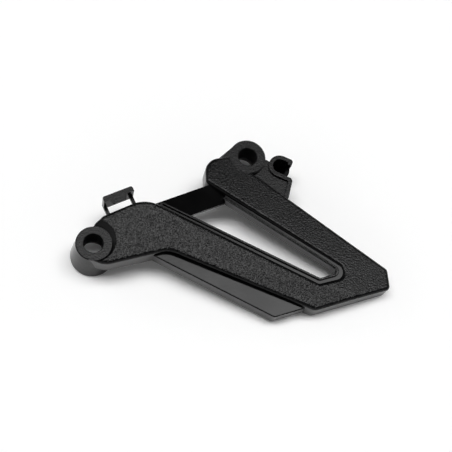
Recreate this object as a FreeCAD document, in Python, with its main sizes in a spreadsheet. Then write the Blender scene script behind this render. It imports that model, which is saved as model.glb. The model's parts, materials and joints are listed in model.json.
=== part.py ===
import FreeCAD, Part
import math
import os
import Sketcher

# A moulded plastic sprocket cover for a motorbike: two arms that meet in a point, a window between them,
# two bolt bosses that stand on the engine, a cable hook and a cable clip.
# Millimetres and degrees. Z runs out along the bolts, the origin is the foot of the heel boss on its bolt's
# axis, X runs towards the tip.

NODE = "sprocket_cover"

SIZES = {
    # bolt bosses: the heel boss is at the origin, the head boss at bolt_x, bolt_y
    "bolt_x": 62.85,
    "bolt_y": 41.84,
    "bore_radius": 4.0,
    "sleeve_recess_radius": 5.6,
    "sleeve_recess_depth": 6.0,
    "boss_foot_radius": 9.0,
    "heel_seat_radius": 7.2,
    "head_seat_radius": 7.7,
    "seat_height": 16.4,
    "boss_chamfer": 0.4,
    # the room that is cut out of the arms round each bolt's head: an upright step, then a flare
    "heel_room_radius": 7.45,
    "heel_room_flare": 3.3,
    "head_room_radius": 7.95,
    "head_room_flare": 0.6,
    "room_step": 0.6,
    "room_top": 20.9,
    # heights of the plate's levels above the boss feet
    "skirt_bottom": 9.0,
    "panel_height": 15.5,
    "ledge_height": 17.6,
    "ledge_depth": 4.6,
    "bead_height": 18.5,
    "hollow_roof": 14.9,
    "panel_hollow_roof": 13.3,
    "skirt_wall": 2.2,
    # the roof: two tilted planes that meet in a soft crease
    "crease_x": 92.1,
    "crease_y": -12.4,
    "crease_height": 18.9,
    "crease_turn": -24.3,
    "crease_pitch": 1.15,
    "lower_arm_tilt": 4.6,
    "upper_arm_tilt": 2.6,
    "crease_radius": 40.0,
    # outline of the two arms, corner by corner, round from the heel boss
    "heel_low_x": -1.5,
    "heel_low_y": -7.0,
    "arm_low_x": 5.0,
    "arm_low_y": -9.1,
    "bend_x": 30.2,
    "bend_y": -1.95,
    "end_corner_x": 89.95,
    "end_corner_y": -24.26,
    "tip_low_x": 122.0,
    "tip_low_y": -13.8,
    "tip_high_x": 121.3,
    "tip_high_y": -5.3,
    "head_low_x": 60.0,
    "head_low_y": 37.2,
    "head_high_x": 56.5,
    "head_high_y": 41.3,
    "shoulder_x": 44.4,
    "shoulder_y": 38.4,
    "notch_high_x": 44.9,
    "notch_high_y": 28.3,
    "notch_end_x": 106.6,
    "notch_end_y": -8.6,
    "notch_low_x": 91.8,
    "notch_low_y": -13.0,
    "crown_x": 20.1,
    "crown_y": 19.36,
    "heel_high_x": 3.3,
    "heel_high_y": 11.0,
    "heel_inner_x": -0.7,
    "heel_inner_y": 6.7,
    "corner_radius": 2.0,
    "end_corner_radius": 4.0,
    "bend_radius": 9.0,
    "crown_radius": 13.0,
    "notch_end_radius": 3.3,
    "shoulder_radius": 6.5,
    "roof_edge_radius": 1.5,
    # the lower smooth panel beside the lower arm
    "panel_start_x": 22.7,
    "panel_start_y": -3.03,
    "panel_corner_x": 73.5,
    "panel_corner_y": -27.24,
    "panel_end_x": 88.5,
    "panel_end_y": -22.18,
    "panel_edge_radius": 0.5,
    # the window's inner edge, past the ledge and its bead
    "sill_low_x": 92.24,
    "sill_low_y": -10.5,
    "sill_end_x": 100.9,
    "sill_end_y": -7.55,
    "sill_end_radius": 1.5,
    "bead_end_radius": 2.4,
    "bead_inner_radius": 1.7,
    "bead_edge_radius": 0.3,
    # the sloped bridge that closes the window's open end
    "bridge_low_x": 26.9,
    "bridge_low_y": 19.0,
    "bridge_high_x": 44.3,
    "bridge_high_y": 26.6,
    "bridge_height": 17.8,
    "bridge_width": 8.8,
    "bridge_lip": 1.5,
    "bridge_root": 3.5,
    # the tab that ties the head boss to the arm
    "tab_high_x": 57.5,
    "tab_high_y": 47.05,
    "tab_low_x": 48.6,
    "tab_low_y": 38.4,
    # ribs on the underside
    "rib_thickness": 1.6,
    "rib_setback": 1.2,
    # the cable hook beside the heel
    "hook_x": 6.0,
    "hook_y": 12.54,
    "hook_turn": 25.85,
    "hook_start": 0.0,
    "hook_length": 13.2,
    "hook_reach": 7.8,
    "hook_wall": 2.3,
    "hook_leg_width": 1.5,
    "hook_bottom": 9.0,
    "hook_leg_height": 1.4,
    "hook_top": 17.2,
    "hook_corner_radius": 0.8,
    "tongue_thickness": 1.3,
    "tongue_depth": 4.5,
    "tongue_start": 2.45,
    "tongue_width": 7.5,
    "tongue_taper": 1.2,
    # the shelf beside the head boss and its raised rim
    "shelf_height": 14.0,
    "shelf_low_x": 79.6,
    "shelf_low_y": 21.8,
    "shelf_side_x": 81.9,
    "shelf_side_y": 32.8,
    "shelf_high_x": 71.4,
    "shelf_high_y": 42.0,
    "rim_inner_x": 80.5,
    "rim_inner_y": 32.45,
    "rim_inner_foot_x": 78.6,
    "rim_inner_foot_y": 25.2,
    "rim_outer_foot_x": 80.4,
    "rim_outer_foot_y": 24.6,
    "rim_outer_x": 82.25,
    "rim_outer_y": 32.6,
    "rim_end_x": 81.6,
    "rim_end_y": 33.9,
    "rim_root_x": 79.07,
    "rim_root_y": 34.7,
    "rim_bend_x": 78.59,
    "rim_bend_y": 33.6,
    "rim_corner_radius": 0.6,
    # the cable clip on the shelf: a deep U-shaped socket with a mouth in its right wall
    "clip_x": 77.05,
    "clip_y": 39.11,
    "clip_turn": -21.85,
    "clip_radius": 3.15,
    "clip_wall": 1.7,
    "clip_length": 4.4,
    "clip_height": 15.2,
    "clip_floor": 4.0,
    "clip_base": 1.2,
    "clip_sill": 11.5,
    "clip_catch": 1.0,
    "clip_corner_radius": 1.2,
}

document = FreeCAD.newDocument(NODE)
sheet = document.addObject("Spreadsheet::Sheet", "Sizes")
for row, (alias, value) in enumerate(SIZES.items(), start=1):
    sheet.set(f"A{row}", alias)
    sheet.set(f"B{row}", str(value))
    sheet.setAlias(f"B{row}", alias)
document.recompute()


class Size:
    """A length together with the sheet expression that gives it."""

    def __init__(self, value, text):
        self.value = value
        self.text = text

    def __add__(self, other):
        return Size(self.value + other.value, f"({self.text} + {other.text})")

    def __sub__(self, other):
        return Size(self.value - other.value, f"({self.text} - {other.text})")

    def __mul__(self, other):
        factor = other if isinstance(other, Size) else fixed(other)
        return Size(self.value * factor.value, f"({self.text} * {factor.text})")


def size(alias):
    return Size(SIZES[alias], f"Sizes.{alias}")


def fixed(value):
    return Size(value, f"({value})")


def sine(angle):
    return Size(math.sin(math.radians(angle.value)), f"sin({angle.text})")


def cosine(angle):
    return Size(math.cos(math.radians(angle.value)), f"cos({angle.text})")


def tangent(angle):
    return Size(math.tan(math.radians(angle.value)), f"tan({angle.text})")


ZERO = fixed(0.0)
# how far an added form reaches into the form that carries it
BITE = fixed(0.9)


def corner(name):
    return size(f"{name}_x"), size(f"{name}_y")


def between(start, end, share):
    """The point at a share of the way from start to end."""
    return tuple(a + (b - a) * share for a, b in zip(start, end))


def moved(point, along_x, along_y):
    return point[0] + along_x, point[1] + along_y


body = document.addObject("PartDesign::Body", "Cover")
body.Label = NODE
planes = {feature.Role: feature for feature in body.Origin.OriginFeatures}


def sketch_at(name, placement):
    """An empty sketch on the body's XY plane, moved and turned by a placement expression."""
    sketch = body.newObject("Sketcher::SketchObject", name)
    sketch.AttachmentSupport = [(planes["XY_Plane"], "")]
    sketch.MapMode = "FlatFace"
    sketch.setExpression("AttachmentOffset", placement)
    return sketch


def level(height):
    return f"placement(vector(0; 0; {height.text}); rotation(vector(0; 0; 1); 0))"


def turned(at, height, turn):
    return (
        f"placement(vector({at[0].text}; {at[1].text}; {height.text});"
        f" rotation(vector(0; 0; 1); {turn.text}))"
    )


def upright(at, height, turn, pitch=ZERO):
    """A plane across the direction turn: its X is level, its Y points up."""
    return (
        f"placement(vector({at[0].text}; {at[1].text}; {height.text});"
        f" rotation(vector(0; 0; 1); {turn.text}) * rotation(vector(0; 1; 0); {pitch.text})"
        f" * rotation(vector(0; 0; 1); 90) * rotation(vector(1; 0; 0); 90))"
    )


def pin_point(constraints, bound, geometry, end, point):
    """Hold a point of the sketch at two sizes measured from the sketch's origin."""
    for kind, length in zip(("DistanceX", "DistanceY"), point):
        bound[len(constraints)] = length.text
        constraints.append(Sketcher.Constraint(kind, -1, 1, geometry, end, length.value))


def crowned(start, end, radius, side):
    """An arc of a radius that bulges to the left (side 1) or right (side -1) of the way from start to end."""
    chord = end - start
    rise = radius - math.sqrt(radius ** 2 - (chord.Length / 2) ** 2)
    across = FreeCAD.Vector(-chord.y, chord.x, 0).normalize()
    return Part.Arc(start, (start + end) / 2 + across * rise * side, end)


def add_polygon(sketch, points, crowns=None):
    """A closed outline through points. Crowns gives each arc's radius and the side it bulges to."""
    crowns = crowns or {}
    first = sketch.GeometryCount
    vectors = [FreeCAD.Vector(x.value, y.value, 0) for x, y in points]
    count = len(points)
    sides = []
    for index, start in enumerate(vectors):
        end = vectors[(index + 1) % count]
        if index in crowns:
            radius, side = crowns[index]
            sides.append(crowned(start, end, radius.value, side))
        else:
            sides.append(Part.LineSegment(start, end))
    sketch.addGeometry(sides, False)
    offset = sketch.ConstraintCount
    constraints = []
    bound = {}
    # a sketch keeps an arc anticlockwise, so one that bulges to the left ends at its own first point
    starts = [2 if index in crowns and crowns[index][1] > 0 else 1 for index in range(count)]
    for index in range(count):
        joined = (index + 1) % count
        ends = (first + index, 3 - starts[index], first + joined, starts[joined])
        constraints.append(Sketcher.Constraint("Coincident", *ends))
    for index, point in enumerate(points):
        pin_point(constraints, bound, first + index, starts[index], point)
    for index, (radius, side) in crowns.items():
        bound[len(constraints)] = radius.text
        constraints.append(Sketcher.Constraint("Radius", first + index, radius.value))
    sketch.addConstraint(constraints)
    for index, text in bound.items():
        sketch.setExpression(f"Constraints[{offset + index}]", text)


def add_circle(sketch, centre, radius):
    first = sketch.GeometryCount
    place = FreeCAD.Vector(centre[0].value, centre[1].value, 0)
    sketch.addGeometry(Part.Circle(place, FreeCAD.Vector(0, 0, 1), radius.value), False)
    offset = sketch.ConstraintCount
    constraints = []
    bound = {}
    pin_point(constraints, bound, first, 3, centre)
    bound[len(constraints)] = radius.text
    constraints.append(Sketcher.Constraint("Radius", first, radius.value))
    sketch.addConstraint(constraints)
    for index, text in bound.items():
        sketch.setExpression(f"Constraints[{offset + index}]", text)


def settle(feature):
    """Work the feature out, and stop if it failed."""
    document.recompute()
    failed = {"Invalid", "Error", "Touched"} & set(feature.State)
    if failed or feature.Shape.isNull() or not feature.Shape.isValid():
        raise RuntimeError(f"{feature.Name}: {feature.State} {feature.getStatusString()}")
    return feature


def pad(name, profile, length):
    feature = body.newObject("PartDesign::Pad", name)
    feature.Profile = profile
    feature.setExpression("Length", length.text)
    return settle(feature)


def pocket(name, profile, length, upward=False, both_ways=False):
    before = body.Shape.Volume
    feature = body.newObject("PartDesign::Pocket", name)
    feature.Profile = profile
    feature.Reversed = upward
    if both_ways:
        feature.SideType = "Symmetric"
    feature.setExpression("Length", length.text)
    settle(feature)
    if not feature.Shape.Volume < before:
        raise RuntimeError(f"{name} cuts nothing")
    return feature


def prism(name, polygons, bottom, top, at=None, turn=None):
    """Polygons seen from above, in the cover's frame or one that is moved and turned, padded upwards."""
    placement = turned(at, bottom, turn) if at else level(bottom)
    sketch = sketch_at(f"{name}Outline", placement)
    for points in polygons:
        add_polygon(sketch, points)
    pad(name, sketch, top - bottom)
    return sketch


def hollow(name, outline, roof):
    """Empty the underside inside an outline, a wall's thickness in from it."""
    inner = body.newObject("PartDesign::SubShapeBinder", f"{name}Inner")
    inner.Support = [(outline, ("",))]
    inner.setExpression("Offset", (ZERO - size("skirt_wall")).text)
    document.recompute()
    pocket(name, inner, roof - size("skirt_bottom"), upward=True)


def circles(name, centres, radius, height):
    sketch = sketch_at(name, level(height))
    for centre in centres:
        add_circle(sketch, centre, radius)
    return sketch


def rectangle(left, right, near, far):
    return [(left, near), (right, near), (right, far), (left, far)]


def round_edges(name, edges, radius):
    carrier = body.Tip
    feature = body.newObject("PartDesign::Fillet", name)
    feature.Base = (carrier, edges)
    feature.setExpression("Radius", radius.text)
    return settle(feature)


def edge_names(accepts):
    """Names of the edges of the body's present shape that a test accepts."""
    edges = enumerate(body.Shape.Edges, start=1)
    return [f"Edge{index}" for index, edge in edges if accepts(edge)]


def upright_edges(points):
    """Names of the upright edges that stand on the given corners."""
    tolerance = 0.01

    def accepts(edge):
        start, end = edge.Vertexes[0].Point, edge.Vertexes[-1].Point
        if math.hypot(start.x - end.x, start.y - end.y) > tolerance:
            return False
        return any(math.hypot(start.x - x.value, start.y - y.value) < tolerance for x, y in points)

    return edge_names(accepts)


def level_edges(path, height, tolerance=1.0):
    """Names of the level edges at a height that run along a path of corners."""
    stretches = [
        Part.makeLine(
            FreeCAD.Vector(a[0].value, a[1].value, height.value),
            FreeCAD.Vector(b[0].value, b[1].value, height.value),
        )
        for a, b in zip(path, path[1:])
    ]

    def accepts(edge):
        if any(abs(vertex.Point.z - height.value) > 0.001 for vertex in edge.Vertexes):
            return False
        middle = Part.Vertex(edge.valueAt((edge.FirstParameter + edge.LastParameter) / 2))
        return min(middle.distToShape(stretch)[0] for stretch in stretches) < tolerance

    return edge_names(accepts)


# corners of the arms

heel_low = corner("heel_low")
arm_low = corner("arm_low")
bend = corner("bend")
end_corner = corner("end_corner")
tip_low = corner("tip_low")
tip_high = corner("tip_high")
head_low = corner("head_low")
head_high = corner("head_high")
shoulder = corner("shoulder")
notch_high = corner("notch_high")
notch_end = corner("notch_end")
notch_low = corner("notch_low")
crown = corner("crown")
heel_high = corner("heel_high")
heel_inner = corner("heel_inner")
heel_bolt = (ZERO, ZERO)
head_bolt = corner("bolt")

# the arms: one V-shaped block, its upright corners rounded

arms_outline = sketch_at("ArmsOutline", level(size("skirt_bottom")))
add_polygon(
    arms_outline,
    [
        heel_low, arm_low, bend, end_corner, tip_low, tip_high, head_low, head_high,
        shoulder, notch_high, notch_end, notch_low, crown, heel_high, heel_inner,
    ],
)
pad("Arms", arms_outline, size("crease_height"))
round_edges("WideBends", upright_edges([arm_low, bend]), size("bend_radius"))
round_edges("Crown", upright_edges([crown]), size("crown_radius"))
round_edges("Shoulder", upright_edges([shoulder]), size("shoulder_radius"))
round_edges("NotchEnd", upright_edges([notch_end]), size("notch_end_radius"))
round_edges("EndCorner", upright_edges([end_corner]), size("end_corner_radius"))
outer_corners = [tip_low, tip_high, notch_high, notch_low, heel_high]
round_edges("OuterCorners", upright_edges(outer_corners), size("corner_radius"))

# the roof: everything above two tilted planes and the soft crease between them is taken away


def cut_roof():
    placement = upright(corner("crease"), size("crease_height"), size("crease_turn"), size("crease_pitch"))
    sketch = sketch_at("RoofLine", placement)
    reach = size("tip_low_x")
    low = size("lower_arm_tilt")
    high = size("upper_arm_tilt")
    radius = size("crease_radius")
    left = (ZERO - radius * sine(low), radius * cosine(low) - radius)
    right = (radius * sine(high), radius * cosine(high) - radius)
    far_left = moved(left, ZERO - reach, ZERO - reach * tangent(low))
    far_right = moved(right, reach, ZERO - reach * tangent(high))
    above = [(far_right[0], reach), (far_left[0], reach)]
    add_polygon(sketch, [left, right, far_right, *above, far_left], crowns={0: (radius, 1)})
    pocket("Roof", sketch, reach * 4, both_ways=True)


cut_roof()


def roof_faces():
    lowest = min(SIZES["seat_height"], SIZES["panel_height"])
    return [
        face
        for face in body.Shape.Faces
        if face.CenterOfMass.z > lowest and face.normalAt(*face.Surface.parameter(face.CenterOfMass)).z > 0.9
    ]


def roof_rim():
    """Edges that bound the roof, without those that two of its faces share."""
    edges = [edge for face in roof_faces() for edge in face.Edges]

    def accepts(edge):
        return sum(edge.isSame(other) for other in edges) == 1

    return edge_names(accepts)


round_edges("RoofEdge", roof_rim(), size("roof_edge_radius"))

# the smooth panel: a lower step beside the lower arm

panel_start = corner("panel_start")
panel_corner = corner("panel_corner")
panel_end = corner("panel_end")
panel_outline = prism(
    "Panel",
    [[
        panel_start, panel_corner, panel_end,
        between(end_corner, notch_low, 0.3), between(bend, crown, 0.2),
    ]],
    size("skirt_bottom"),
    size("panel_height"),
)
round_edges("PanelCorner", upright_edges([panel_corner]), size("corner_radius"))
panel_edge = level_edges([panel_start, panel_corner, panel_end], size("panel_height"))
round_edges("PanelEdge", panel_edge, size("panel_edge_radius"))

# the window's ledge, a step down from the roof, and the bead that stands on its inner edge

bridge_low = corner("bridge_low")
bridge_high = corner("bridge_high")
sill_low = corner("sill_low")
sill_end = corner("sill_end")
ledge_bottom = size("ledge_height") - size("ledge_depth")
LEDGE_START = 0.075
LEDGE_FAR_START = 0.14
prism(
    "Ledge",
    [[
        moved(between(crown, notch_low, LEDGE_START), BITE * -0.5, BITE * -1),
        moved(notch_low, ZERO, BITE * -1), notch_end,
        moved(between(notch_high, notch_end, LEDGE_FAR_START), BITE * 0.5, BITE),
        between(bridge_high, sill_end, LEDGE_FAR_START), sill_end, sill_low, bridge_low,
    ]],
    ledge_bottom,
    size("ledge_height"),
)
round_edges("SillEnd", upright_edges([sill_end]), size("sill_end_radius"))
round_edges("SillCorner", upright_edges([sill_low]), size("corner_radius"))

BEAD_START = 0.012
BEAD_FAR_START = 0.15
# the bead lies between these shares of the way from the roof's edge to the window's
BEAD_OUTSIDE = 0.53
BEAD_INSIDE = 0.93
# shares of its far and near sides that the arcs round its end take up, outside and inside
BEAD_END_ARC = (0.093, 0.45)
BEAD_INNER_ARC = (0.068, 0.403)


def bead_corners(share):
    """The bead's start, near corner, end corner and far start at a share of the ledge's width."""
    starts = between(crown, notch_low, LEDGE_START + BEAD_START), between(bridge_low, sill_low, BEAD_START)
    far_starts = between(notch_high, notch_end, BEAD_FAR_START), between(bridge_high, sill_end, BEAD_FAR_START)
    pairs = [starts, (notch_low, sill_low), (notch_end, sill_end), far_starts]
    return [between(roof_point, sill_point, share) for roof_point, sill_point in pairs]


def add_bead():
    start, low, end, far = bead_corners(BEAD_OUTSIDE)
    inner_start, inner_low, inner_end, inner_far = bead_corners(BEAD_INSIDE)
    outline = sketch_at("BeadOutline", level(size("ledge_height") - BITE))
    add_polygon(
        outline,
        [
            between(end, far, BEAD_END_ARC[0]), between(end, low, BEAD_END_ARC[1]), low, start,
            inner_start, inner_low,
            between(inner_end, inner_low, BEAD_INNER_ARC[1]), between(inner_end, inner_far, BEAD_INNER_ARC[0]),
            inner_far, far,
        ],
        crowns={0: (size("bead_end_radius"), 1), 6: (size("bead_inner_radius"), -1)},
    )
    pad("Bead", outline, size("bead_height") - size("ledge_height") + BITE)
    round_edges("BeadCorners", upright_edges([low, inner_low]), size("corner_radius"))
    path = [inner_start, inner_low, inner_end, inner_far]
    edges = level_edges(path, size("bead_height"), tolerance=2.6)
    round_edges("BeadEdge", edges, size("bead_edge_radius"))


add_bead()

# the sloped bridge across the window's open end


def add_bridge():
    run = (bridge_high[0] - bridge_low[0], bridge_high[1] - bridge_low[1])
    turn = Size(
        math.degrees(math.atan2(run[1].value, run[0].value)),
        f"atan2({run[1].text}; {run[0].text})",
    )
    span = Size(
        math.hypot(run[0].value, run[1].value),
        f"sqrt({run[0].text} ^ 2 + {run[1].text} ^ 2)",
    )
    sketch = sketch_at("BridgeSection", upright(bridge_low, ZERO, turn))
    inner = ZERO - size("bridge_width")
    add_polygon(
        sketch,
        [
            (ZERO, ledge_bottom), (ZERO, size("bridge_height")),
            (inner, ledge_bottom + size("bridge_lip")), (inner, ledge_bottom),
        ],
    )
    feature = body.newObject("PartDesign::Pad", "Bridge")
    feature.Profile = sketch
    feature.SideType = "Two sides"
    feature.setExpression("Length", (span + size("bridge_width") + BITE).text)
    feature.setExpression("Length2", size("bridge_root").text)
    settle(feature)


add_bridge()

# the underside: hollow, with ribs across each arm

hollow("ArmsHollow", arms_outline, size("hollow_roof"))
hollow("PanelHollow", panel_outline, size("panel_hollow_roof"))

LOWER_RIBS = ((0.30, 0.33), (0.60, 0.58), (0.88, 0.83))
UPPER_RIBS = ((0.30, 0.42), (0.55, 0.66), (0.80, 0.90))
half_rib = size("rib_thickness") * 0.5


def rib(outside, inside):
    """A strip between two walls, its ends buried in them."""
    buried = 0.06
    start = between(outside, inside, buried)
    end = between(outside, inside, 1 - buried)
    return [
        moved(start, half_rib * -1, ZERO), moved(start, half_rib, ZERO),
        moved(end, half_rib, ZERO), moved(end, half_rib * -1, ZERO),
    ]


ribs = [
    rib(between(panel_start, panel_corner, outer), between(crown, notch_low, inner))
    for outer, inner in LOWER_RIBS
]
ribs += [
    rib(between(head_low, tip_high, outer), between(notch_high, notch_end, inner))
    for outer, inner in UPPER_RIBS
]
prism("Ribs", ribs, size("skirt_bottom") + size("rib_setback"), size("hollow_roof") + BITE * 0.3)

# the bosses and the tab beside the head boss


def add_boss(name, bolt, seat):
    foot = size("boss_foot_radius")
    top = size("seat_height")
    chamfer = size("boss_chamfer")
    sketch = sketch_at(f"{name}Section", upright(bolt, ZERO, ZERO))
    add_polygon(
        sketch,
        [
            (ZERO, ZERO), (foot - chamfer, ZERO), (foot, chamfer),
            (seat, top - chamfer), (seat - chamfer, top), (ZERO, top),
        ],
    )
    feature = body.newObject("PartDesign::Revolution", name)
    feature.Profile = sketch
    feature.ReferenceAxis = (sketch, ["V_Axis"])
    settle(feature)


add_boss("HeelBoss", heel_bolt, size("heel_seat_radius"))
add_boss("HeadBoss", head_bolt, size("head_seat_radius"))
prism(
    "Tab",
    [[corner("tab_high"), corner("tab_low"), head_low, head_bolt]],
    size("skirt_bottom"),
    size("seat_height"),
)

# the shelf beside the head boss, with a raised rim along its right edge

clip = corner("clip")
prism(
    "Shelf",
    [[
        moved(head_low, BITE * 3, BITE * -2), corner("shelf_low"), corner("shelf_side"),
        clip, corner("shelf_high"), head_bolt,
    ]],
    size("skirt_bottom"),
    size("shelf_height"),
)
rim_outer = corner("rim_outer")
rim_end = corner("rim_end")
prism(
    "ShelfRim",
    [[
        corner("rim_inner_foot"), corner("rim_outer_foot"), rim_outer, rim_end,
        corner("rim_root"), corner("rim_bend"), corner("rim_inner"),
    ]],
    size("skirt_bottom"),
    size("clip_height"),
)
round_edges("RimCorners", upright_edges([rim_outer, rim_end]), size("rim_corner_radius"))

# the cable clip: a round-backed socket, its right wall cut down to a sill beside a short catch


def in_turned_frame(at, turn, along, across):
    """Where a point of a moved and turned frame lies in the cover's frame."""
    x = at[0] + along * cosine(turn) - across * sine(turn)
    y = at[1] + along * sine(turn) + across * cosine(turn)
    return x, y


def add_clip():
    turn = size("clip_turn")
    inner = size("clip_radius")
    outer = inner + size("clip_wall")
    right = size("clip_length")
    top = size("clip_height")
    base = size("clip_floor") - size("clip_base")
    depth = top - size("clip_floor")
    pad("ClipBack", circles("ClipBackCircle", [clip], outer, base), top - base)
    prism("ClipWalls", [rectangle(ZERO, right, ZERO - outer, outer)], base, top, at=clip, turn=turn)
    far_corner = in_turned_frame(clip, turn, right, outer)
    round_edges("ClipCorner", upright_edges([far_corner]), size("clip_corner_radius"))
    pocket("ClipBore", circles("ClipBoreCircle", [clip], inner, top), depth)
    hollow_outline = sketch_at("ClipHollowOutline", turned(clip, top, turn))
    add_polygon(hollow_outline, rectangle(ZERO, right - size("clip_wall"), ZERO - inner, inner))
    pocket("ClipHollow", hollow_outline, depth)
    mouth_outline = sketch_at("ClipMouthOutline", turned(clip, top, turn))
    add_polygon(mouth_outline, rectangle(ZERO, right + BITE, ZERO - inner, inner - size("clip_catch")))
    pocket("ClipMouth", mouth_outline, top - size("clip_sill"))


add_clip()

# the cable hook: two legs, an upright wall and a tongue that turns back over the cable


def add_hook():
    at = corner("hook")
    turn = size("hook_turn")
    left = size("hook_start")
    right = left + size("hook_length")
    reach = size("hook_reach")
    leg = size("hook_leg_width")
    inside = reach - size("hook_wall")
    root = BITE * -1.6
    bottom = size("hook_bottom")
    top = size("hook_top")
    legs = [rectangle(left, left + leg, root, reach), rectangle(right - leg, right, root, reach)]
    prism("HookLegs", legs, bottom, bottom + size("hook_leg_height"), at=at, turn=turn)
    prism("HookWall", [rectangle(left, right, inside, reach)], bottom, top, at=at, turn=turn)
    outer_corners = [in_turned_frame(at, turn, along, reach) for along in (left, right)]
    round_edges("HookCorners", upright_edges(outer_corners), size("hook_corner_radius"))
    tongue_left = left + size("tongue_start")
    tongue_right = tongue_left + size("tongue_width")
    tip = reach - size("tongue_depth")
    taper = size("tongue_taper")
    tongue = [
        (tongue_left, inside + BITE), (tongue_left, inside), (tongue_left + taper, tip),
        (tongue_right - taper, tip), (tongue_right, inside), (tongue_right, inside + BITE),
    ]
    prism("HookTongue", [tongue], top - size("tongue_thickness"), top, at=at, turn=turn)


add_hook()

# room for the bolts' heads, the bores and the recesses for the bolt sleeves


def cut_head_room(name, bolt, radius, flare):
    sketch = sketch_at(f"{name}Section", upright(bolt, ZERO, ZERO))
    seat = size("seat_height")
    top = size("room_top")
    add_polygon(
        sketch,
        [(ZERO, seat), (radius, seat), (radius, seat + size("room_step")), (radius + flare, top), (ZERO, top)],
    )
    feature = body.newObject("PartDesign::Groove", name)
    feature.Profile = sketch
    feature.ReferenceAxis = (sketch, ["V_Axis"])
    settle(feature)


cut_head_room("HeelRoom", heel_bolt, size("heel_room_radius"), size("heel_room_flare"))
cut_head_room("HeadRoom", head_bolt, size("head_room_radius"), size("head_room_flare"))
bores = circles("BoreCircles", [heel_bolt, head_bolt], size("bore_radius"), size("seat_height"))
pocket("Bores", bores, size("seat_height") * 2)
recesses = circles("RecessCircles", [heel_bolt, head_bolt], size("sleeve_recess_radius"), ZERO)
pocket("SleeveRecesses", recesses, size("sleeve_recess_depth"), upward=True)

# the finished cover is tested, then written

document.recompute()
for item in document.Objects:
    if {"Invalid", "Error"} & set(item.State):
        raise RuntimeError(f"{item.Label} failed: {item.State}")
cover = body.Shape
if cover.isNull() or not cover.isValid() or len(cover.Solids) != 1:
    raise RuntimeError(f"{body.Label} is not one sound solid")
os.makedirs("parts", exist_ok=True)
cover.exportStep(f"parts/{body.Label}.step")
print(f"{body.Label}: {cover.Volume:.0f} mm3, {cover.BoundBox}")
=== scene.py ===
import json
import math

import bpy
from mathutils import Matrix, Vector

# A black moulded sprocket cover that lies on a white floor under a broad softbox.
# Metres, in the cover's own frame: Z runs out along its bolts, X towards its tip.

MM = 0.001
AXIS_X = Vector((1, 0, 0))
AXIS_Y = Vector((0, 1, 0))
AXIS_Z = Vector((0, 0, 1))
WHITE = (1.0, 1.0, 1.0)

COVER = "sprocket_cover"
BOLT_MOUNTS = ("heel_sleeve", "head_sleeve")

# the photograph's camera, in the cover's frame
CAMERA_AT = Vector((-7.5632, -127.3174, 398.0971)) * MM
CAMERA_RIGHT = Vector((0.9874169, 0.0, 0.1581388))
CAMERA_UP = Vector((-0.0530368, 0.9420825, 0.3311612))
SENSOR_WIDTH = 36.0
FOCAL_LENGTH = 79.646

# the roof of the arms: two tilted planes that meet in a crease
CREASE_AT = Vector((92.1, -12.4, 18.9)) * MM
CREASE_TURN = math.radians(-24.3)
CREASE_PITCH = math.radians(1.15)
LOWER_ARM_TILT = math.radians(4.6)
UPPER_ARM_TILT = math.radians(2.6)
# heights about a roof plane between which the roof's finish comes in
ROOF_FADE = (-0.45 * MM, -0.12 * MM)
# how far either side of the crease, as a difference of heights, one arm's finish turns into the other's
CREASE_FADE = 0.3 * MM

# levels of the dull faces: the shelf, the clip's rim, the bolt seats and the hook's lip
DULL_LEVELS = (14.0 * MM, 15.2 * MM, 16.4 * MM, 17.2 * MM)
LEVEL_TOLERANCE = 0.08 * MM
# shares of Z in the normal of a face between which it counts as level
LEVEL_FACING = (0.97, 0.99)

# distances from a bolt's axis between which the bolt hole's finish comes in
BOLT_HOLE_RADIUS = 4.0 * MM
BOLT_HOLE_FADE = (BOLT_HOLE_RADIUS + 0.25 * MM, BOLT_HOLE_RADIUS + 0.1 * MM)

# the mould's grain: the size of its coarse and fine features, the coarse share, and its depth
COARSE_GRAIN = 0.6 * MM
FINE_GRAIN = 0.4 * MM
COARSE_SHARE = 0.7
LOWER_ARM_DEPTH = 0.22 * MM
UPPER_ARM_DEPTH = 0.10 * MM
DULL_DEPTH = 0.08 * MM
# the smooth faces: the size and height of their ripple
RIPPLE = 2.2 * MM
RIPPLE_HEIGHT = 0.012 * MM
# patches of slightly different gloss and colour
PATCH = 14.0 * MM
# the noise's middle, and the values between which it sets roughness and colour
NOISE_MIDDLE = 0.5
NOISE_SPREAD = (0.3, 0.7)
COLOUR_SPREAD = (0.25, 0.75)

# lowest and highest roughness of each finish
SMOOTH_ROUGHNESS = (0.14, 0.20)
LOWER_ARM_ROUGHNESS = (0.20, 0.33)
UPPER_ARM_ROUGHNESS = (0.14, 0.36)
DULL_ROUGHNESS = (0.24, 0.40)
BOLT_HOLE_ROUGHNESS = 0.9
# darkest and palest black, and its blue against its red and green
BLACK = (0.0018, 0.0030)
BLUE_RATIO = 1.06
PLASTIC_IOR = 1.5
GLOSS_LEVEL = 0.17

# the softbox overhead, as shares of X and Y in the direction towards it: its middle, and how far out
# from there its light is even and where it ends
SOFTBOX_MIDDLE = (-0.04, 0.165)
SOFTBOX_EVEN = (0.42, 0.13)
SOFTBOX_END = (0.56, 0.195)
SOFTBOX_LIGHT = 7.9
# shares of Z between which the softbox comes in above the horizon
SOFTBOX_RISE = (0.0, 0.2)
# the pale walls round the table: shares of Z between which they end upwards, and shares of Y
# between which they end at the gap behind the cover
WALLS_TOP = (0.64, 0.37)
WALLS_GAP = (0.85, 0.60)
WALLS_LIGHT = 0.65
ROOM_LIGHT = 0.05
BACKDROP_LIGHT = 1.0

FLOOR_SIZE = 4.0
FLOOR_COLOUR = (0.82, 0.82, 0.82)
FLOOR_GLOW = 0.03
FOOT_TOLERANCE = 0.01 * MM
# how far past the feet the tip's own resting point is looked for
TIP_DISTANCE = 20 * MM


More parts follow.
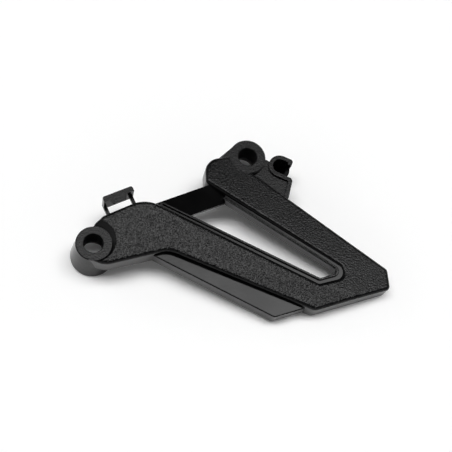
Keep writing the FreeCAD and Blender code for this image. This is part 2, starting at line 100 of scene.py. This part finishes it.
class Graph:
    """Short calls for building a node tree."""

    def __init__(self, tree):
        self.tree = tree
        self.tree.nodes.clear()

    def add(self, kind, settings=None, **inputs):
        node = self.tree.nodes.new(f"ShaderNode{kind}")
        for name, value in (settings or {}).items():
            setattr(node, name, value)
        for name, value in inputs.items():
            self.feed(node.inputs[name.replace("_", " ")], value)
        return node

    def feed(self, socket, value):
        """Link another node's socket, or set a number, vector or colour."""
        if isinstance(value, bpy.types.NodeSocket):
            self.tree.links.new(value, socket)
        elif socket.type == "RGBA":
            socket.default_value = (*value, 1.0)
        else:
            socket.default_value = value

    def maths(self, operation, *values):
        node = self.add("Math", {"operation": operation})
        for socket, value in zip(node.inputs, values):
            self.feed(socket, value)
        return node.outputs[0]

    def dot(self, vector, direction):
        node = self.add("VectorMath", {"operation": "DOT_PRODUCT"})
        self.feed(node.inputs[0], vector)
        self.feed(node.inputs[1], direction)
        return node.outputs["Value"]

    def ramp(self, value, start, end, low=0.0, high=1.0):
        """A smooth step from low at start to high at end."""
        node = self.add("MapRange", {"interpolation_type": "SMOOTHSTEP"})
        for name, number in (("From Min", start), ("From Max", end), ("To Min", low), ("To Max", high)):
            node.inputs[name].default_value = number
        self.feed(node.inputs["Value"], value)
        return node.outputs["Result"]

    def blend(self, share, first, second):
        """From the first number at share nought to the second at one."""
        node = self.add("Mix", {"data_type": "FLOAT"})
        factor, _, start, end = node.inputs[:4]
        self.feed(factor, share)
        self.feed(start, first)
        self.feed(end, second)
        return node.outputs[0]

    def mix_shaders(self, share, first, second):
        node = self.add("MixShader", Fac=share)
        self.feed(node.inputs[1], first.outputs[0])
        self.feed(node.inputs[2], second.outputs[0])
        return node.outputs[0]

    def noise(self, vector, size, detail=0.0):
        """Noise whose features are about that size across, in metres."""
        return self.add("TexNoise", Vector=vector, Scale=1.0 / size, Detail=detail).outputs[0]


def roof_normals():
    """Normals of the lower and the upper arm's roof."""
    along = Vector((math.cos(CREASE_TURN), math.sin(CREASE_TURN), 0.0))
    across = Vector((-along.y, along.x, 0.0))
    lean = along * math.sin(CREASE_PITCH)
    lower = AXIS_Z * math.cos(LOWER_ARM_TILT) - across * math.sin(LOWER_ARM_TILT) + lean
    upper = AXIS_Z * math.cos(UPPER_ARM_TILT) + across * math.sin(UPPER_ARM_TILT) + lean
    return lower.normalized(), upper.normalized()


def roof_shares(graph, position):
    """One on both roofs and nought elsewhere, and one on the upper arm's side of the crease."""
    heights = []
    for normal in roof_normals():
        level = graph.dot(position, normal)
        heights.append(graph.maths("SUBTRACT", level, CREASE_AT.dot(normal)))
    lower, upper = heights
    on_roof = graph.ramp(graph.maths("MAXIMUM", lower, upper), *ROOF_FADE)
    on_upper = graph.ramp(graph.maths("SUBTRACT", upper, lower), -CREASE_FADE, CREASE_FADE)
    return on_roof, on_upper


def dull_share(graph, position):
    """One on the level faces at the dull levels."""
    upward = graph.dot(graph.add("NewGeometry").outputs["Normal"], AXIS_Z)
    height = graph.dot(position, AXIS_Z)
    share = 0.0
    for level in DULL_LEVELS:
        share = graph.maths("MAXIMUM", share, graph.maths("COMPARE", height, level, LEVEL_TOLERANCE))
    return graph.maths("MULTIPLY", share, graph.ramp(upward, *LEVEL_FACING))


def bolt_hole_share(graph, position, bolts):
    """One inside the bolt holes."""
    share = 0.0
    for bolt in bolts:
        x = graph.maths("SUBTRACT", graph.dot(position, AXIS_X), bolt.x)
        y = graph.maths("SUBTRACT", graph.dot(position, AXIS_Y), bolt.y)
        squares = graph.maths("ADD", graph.maths("MULTIPLY", x, x), graph.maths("MULTIPLY", y, y))
        inside = graph.ramp(graph.maths("SQRT", squares), *BOLT_HOLE_FADE)
        share = graph.maths("MAXIMUM", share, inside)
    return share


def relief(graph, noise, height):
    """Noise as a height about the face itself, so that the border of a finish is no step."""
    return graph.maths("MULTIPLY", graph.maths("SUBTRACT", noise, NOISE_MIDDLE), height)


def moulded_plastic(bolts):
    """Black plastic: grain on the roofs, dull seats, rough bolt holes, and a smooth skin elsewhere."""
    material = bpy.data.materials.new("moulded_plastic")
    material.use_nodes = True
    graph = Graph(material.node_tree)
    position = graph.add("TexCoord").outputs["Object"]
    on_roof, on_upper = roof_shares(graph, position)
    dull = dull_share(graph, position)
    in_hole = bolt_hole_share(graph, position, bolts)

    coarse = graph.noise(position, COARSE_GRAIN)
    fine = graph.noise(position, FINE_GRAIN)
    pits = graph.blend(COARSE_SHARE, fine, coarse)
    ripple = graph.noise(position, RIPPLE, detail=2.0)
    patches = graph.noise(position, PATCH, detail=2.0)

    depth = graph.blend(dull, graph.blend(on_upper, LOWER_ARM_DEPTH, UPPER_ARM_DEPTH), DULL_DEPTH)
    grained = graph.maths("MAXIMUM", on_roof, dull)
    height = graph.blend(grained, relief(graph, ripple, RIPPLE_HEIGHT), relief(graph, pits, depth))
    bump = graph.add("Bump", Strength=1.0, Distance=1.0, Height=height)

    lower_arm = graph.ramp(coarse, *NOISE_SPREAD, *LOWER_ARM_ROUGHNESS)
    upper_arm = graph.ramp(fine, *NOISE_SPREAD, *UPPER_ARM_ROUGHNESS)
    smooth = graph.ramp(patches, *NOISE_SPREAD, *SMOOTH_ROUGHNESS)
    roughness = graph.blend(on_roof, smooth, graph.blend(on_upper, lower_arm, upper_arm))
    roughness = graph.blend(dull, roughness, graph.ramp(fine, *NOISE_SPREAD, *DULL_ROUGHNESS))
    roughness = graph.blend(in_hole, roughness, BOLT_HOLE_ROUGHNESS)

    tint = graph.ramp(patches, *COLOUR_SPREAD, *BLACK)
    colour = graph.add("CombineColor", Red=tint, Green=tint, Blue=graph.maths("MULTIPLY", tint, BLUE_RATIO))
    shader = graph.add(
        "BsdfPrincipled",
        Base_Color=colour.outputs[0],
        Roughness=roughness,
        Normal=bump.outputs[0],
        IOR=PLASTIC_IOR,
        Specular_IOR_Level=GLOSS_LEVEL,
    )
    graph.add("OutputMaterial", Surface=shader.outputs[0])
    return material


def direct_view(graph):
    """One for rays that show the floor itself: the camera's, and those mirrored or let through."""
    path = graph.add("LightPath").outputs
    seen = graph.maths("MAXIMUM", path["Is Camera Ray"], path["Is Glossy Ray"])
    return graph.maths("MAXIMUM", seen, path["Is Transmission Ray"])


def floor_material():
    """White where it is seen, and a little darker where it only throws light back."""
    material = bpy.data.materials.new("floor_white")
    material.use_nodes = True
    graph = Graph(material.node_tree)
    plain = graph.add("BsdfDiffuse", Color=FLOOR_COLOUR)
    bright = graph.add("BsdfDiffuse", Color=WHITE)
    glow = graph.add("Emission", Color=WHITE, Strength=FLOOR_GLOW)
    lit = graph.add("AddShader")
    graph.feed(lit.inputs[0], bright.outputs[0])
    graph.feed(lit.inputs[1], glow.outputs[0])
    graph.add("OutputMaterial", Surface=graph.mix_shaders(direct_view(graph), plain, lit))
    return material


def resting_floor(cover, heel, head):
    """A point and the normal of the floor that the two boss feet and the tip rest on."""
    outward = (head - heel).normalized().cross(AXIS_Z)
    points = [vertex.co for vertex in cover.data.vertices]
    foot_edge = max(point.dot(outward) for point in points if point.z < heel.z + FOOT_TOLERANCE)
    beyond = [point for point in points if point.dot(outward) > foot_edge + TIP_DISTANCE]
    slope = min((point.z - heel.z) / (point.dot(outward) - foot_edge) for point in beyond)
    normal = (AXIS_Z - outward * slope).normalized()
    return heel + outward * foot_edge, normal


def add_floor(at, normal):
    half = FLOOR_SIZE / 2
    mesh = bpy.data.meshes.new("floor")
    corners = [(-half, -half, 0), (half, -half, 0), (half, half, 0), (-half, half, 0)]
    mesh.from_pydata(corners, [], [(0, 1, 2, 3)])
    floor = bpy.data.objects.new("floor", mesh)
    floor.matrix_world = Matrix.Translation(at) @ normal.to_track_quat("Z", "Y").to_matrix().to_4x4()
    floor.data.materials.append(floor_material())
    bpy.context.scene.collection.objects.link(floor)


def light_studio():
    """A softbox overhead, pale walls round the table, and a white backdrop for the camera."""
    world = bpy.data.worlds.new("studio")
    bpy.context.scene.world = world
    world.use_nodes = True
    graph = Graph(world.node_tree)
    direction = graph.add("TexCoord").outputs["Generated"]
    x, y, z = (graph.dot(direction, axis) for axis in (AXIS_X, AXIS_Y, AXIS_Z))

    softbox = graph.ramp(z, *SOFTBOX_RISE, high=SOFTBOX_LIGHT)
    for share, middle, even, end in zip((x, y), SOFTBOX_MIDDLE, SOFTBOX_EVEN, SOFTBOX_END):
        away = graph.maths("ABSOLUTE", graph.maths("SUBTRACT", share, middle))
        softbox = graph.maths("MULTIPLY", softbox, graph.ramp(away, end, even))
    walls = graph.maths("MULTIPLY", graph.ramp(z, *WALLS_TOP, high=WALLS_LIGHT), graph.ramp(y, *WALLS_GAP))
    light = graph.maths("ADD", graph.maths("ADD", softbox, walls), ROOM_LIGHT)

    studio = graph.add("Background", Color=WHITE, Strength=light)
    backdrop = graph.add("Background", Color=WHITE, Strength=BACKDROP_LIGHT)
    camera_ray = graph.add("LightPath").outputs["Is Camera Ray"]
    graph.add("OutputWorld", Surface=graph.mix_shaders(camera_ray, studio, backdrop))


def add_camera():
    data = bpy.data.cameras.new("camera")
    data.sensor_width = SENSOR_WIDTH
    data.lens = FOCAL_LENGTH
    camera = bpy.data.objects.new("camera", data)
    turn = Matrix((CAMERA_RIGHT, CAMERA_UP, CAMERA_RIGHT.cross(CAMERA_UP))).transposed()
    camera.matrix_world = Matrix.Translation(CAMERA_AT) @ turn.to_4x4()
    bpy.context.scene.collection.objects.link(camera)
    bpy.context.scene.camera = camera


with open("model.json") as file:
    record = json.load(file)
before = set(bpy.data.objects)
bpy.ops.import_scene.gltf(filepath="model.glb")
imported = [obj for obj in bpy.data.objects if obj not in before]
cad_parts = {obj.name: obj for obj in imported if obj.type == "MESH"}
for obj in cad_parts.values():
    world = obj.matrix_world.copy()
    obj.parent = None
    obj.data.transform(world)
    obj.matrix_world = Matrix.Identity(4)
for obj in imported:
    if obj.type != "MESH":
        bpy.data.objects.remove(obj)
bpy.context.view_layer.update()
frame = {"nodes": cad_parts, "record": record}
cover = frame["nodes"][COVER]
mounts = {mount["name"]: Vector(mount["pos_m"]) for mount in frame["record"]["mounts"]}
heel, head = (mounts[name] for name in BOLT_MOUNTS)

cover.data.materials.clear()
cover.data.materials.append(moulded_plastic([heel, head]))
add_floor(*resting_floor(cover, heel, head))
light_studio()
add_camera()
bpy.context.scene.view_settings.view_transform = "Standard"
